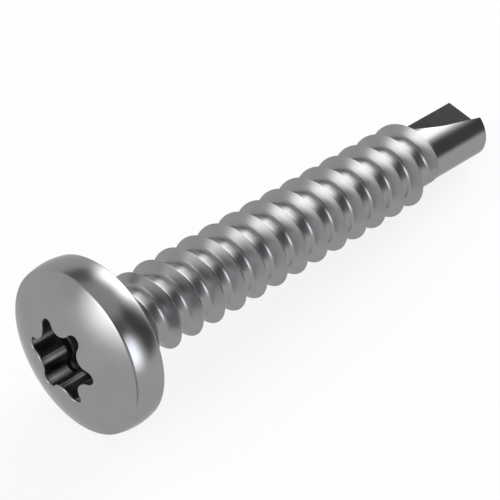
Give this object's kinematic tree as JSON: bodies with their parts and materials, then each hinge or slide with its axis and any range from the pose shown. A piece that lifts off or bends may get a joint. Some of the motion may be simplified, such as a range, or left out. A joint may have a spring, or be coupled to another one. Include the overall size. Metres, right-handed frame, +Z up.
{
  "type": "self drilling screw",
  "caption": "Self drilling screw with a low pan head, six-lobe drive recess, coarse tapping thread and a two-flute drill point.",
  "frame": {"origin": "on the floor, under the middle of the screw's length as it lies", "axes": "+X along the screw from the head to the drill point, +Z up; the screw lies at rest on the edge of its head and on a thread crest, so its axis dips 5.9 degrees from +X towards the floor at the tip"},
  "size_m": [0.033, 0.0096, 0.0097],
  "materials": {
    "steel": "satin, plain cold-formed steel"
  },
  "bodies": {
    "root": {"screw": "steel"}
  },
  "joints": []
}
